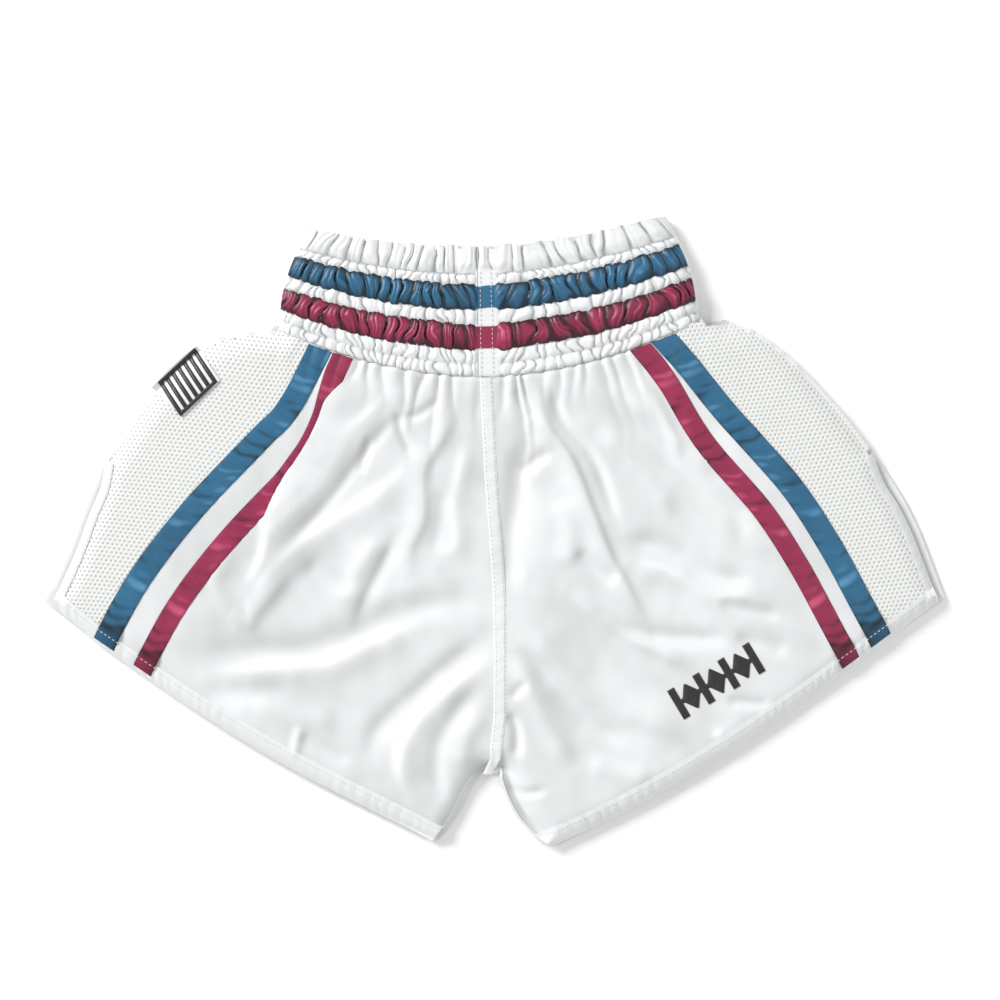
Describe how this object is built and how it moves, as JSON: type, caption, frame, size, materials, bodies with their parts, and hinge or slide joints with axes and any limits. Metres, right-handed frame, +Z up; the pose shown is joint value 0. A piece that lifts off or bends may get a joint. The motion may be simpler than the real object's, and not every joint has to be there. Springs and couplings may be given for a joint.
{
  "type": "boxing shorts",
  "caption": "Satin boxing shorts lying flat: shirred elastic waistband with ribbons, taped legs, mesh side panels with vents.",
  "frame": {"origin": "on the table, under the middle of the shorts' bounding box", "axes": "+X across the shorts, towards the wearer's left side, which is the viewer's right; +Y from the leg tips up to the waist; +Z up from the table, out of the front"},
  "size_m": [0.588, 0.4138, 0.0172],
  "materials": {
    "white_satin": "satin",
    "white_mesh": "matte",
    "blue_satin": "satin",
    "crimson_satin": "satin",
    "woven_elastic": "matte",
    "black_thread": "satin"
  },
  "bodies": {
    "right_half": {"back_blue_ribbon_right": "blue_satin", "back_blue_tape_right": "blue_satin", "back_crimson_ribbon_right": "crimson_satin", "back_crimson_tape_right": "crimson_satin", "back_hem_right": "white_satin", "back_mesh_panel_right": "white_mesh", "back_satin_panel_right": "white_satin", "back_vent_edge_right": "white_satin", "back_waistband_right": "white_satin", "centre_back_seam": "white_satin", "centre_front_placket": "white_satin", "front_blue_ribbon_right": "blue_satin", "front_blue_tape_right": "blue_satin", "front_crimson_ribbon_right": "crimson_satin", "front_crimson_tape_right": "crimson_satin", "front_hem_right": "white_satin", "front_mesh_panel_right": "white_mesh", "front_satin_panel_right": "white_satin", "front_vent_edge_right": "white_satin", "front_waistband_right": "white_satin", "inseam_right": "white_satin", "leg_motif": "black_thread", "side_seam_right": "white_satin", "waist_elastic_1_right": "woven_elastic", "waist_elastic_2_right": "woven_elastic", "waist_elastic_3_right": "woven_elastic", "waist_elastic_4_right": "woven_elastic", "waist_lining_right": "white_satin", "waistband_side_seam_right": "white_satin"},
    "left_half": {"back_blue_ribbon_left": "blue_satin", "back_blue_tape_left": "blue_satin", "back_crimson_ribbon_left": "crimson_satin", "back_crimson_tape_left": "crimson_satin", "back_hem_left": "white_satin", "back_mesh_panel_left": "white_mesh", "back_satin_panel_left": "white_satin", "back_vent_edge_left": "white_satin", "back_waistband_left": "white_satin", "barred_badge": "black_thread", "front_blue_ribbon_left": "blue_satin", "front_blue_tape_left": "blue_satin", "front_crimson_ribbon_left": "crimson_satin", "front_crimson_tape_left": "crimson_satin", "front_hem_left": "white_satin", "front_mesh_panel_left": "white_mesh", "front_satin_panel_left": "white_satin", "front_vent_edge_left": "white_satin", "front_waistband_left": "white_satin", "inseam_left": "white_satin", "side_seam_left": "white_satin", "waist_elastic_1_left": "woven_elastic", "waist_elastic_2_left": "woven_elastic", "waist_elastic_3_left": "woven_elastic", "waist_elastic_4_left": "woven_elastic", "waist_lining_left": "white_satin", "waistband_side_seam_left": "white_satin"}
  },
  "joints": [
    {"name": "centre_fold", "type": "hinge", "parent": "right_half", "child": "left_half", "pos_m": [-0.00515, 0, 0.0175], "axis": [0, 1, 0], "range_deg": [0, 180]}
  ]
}
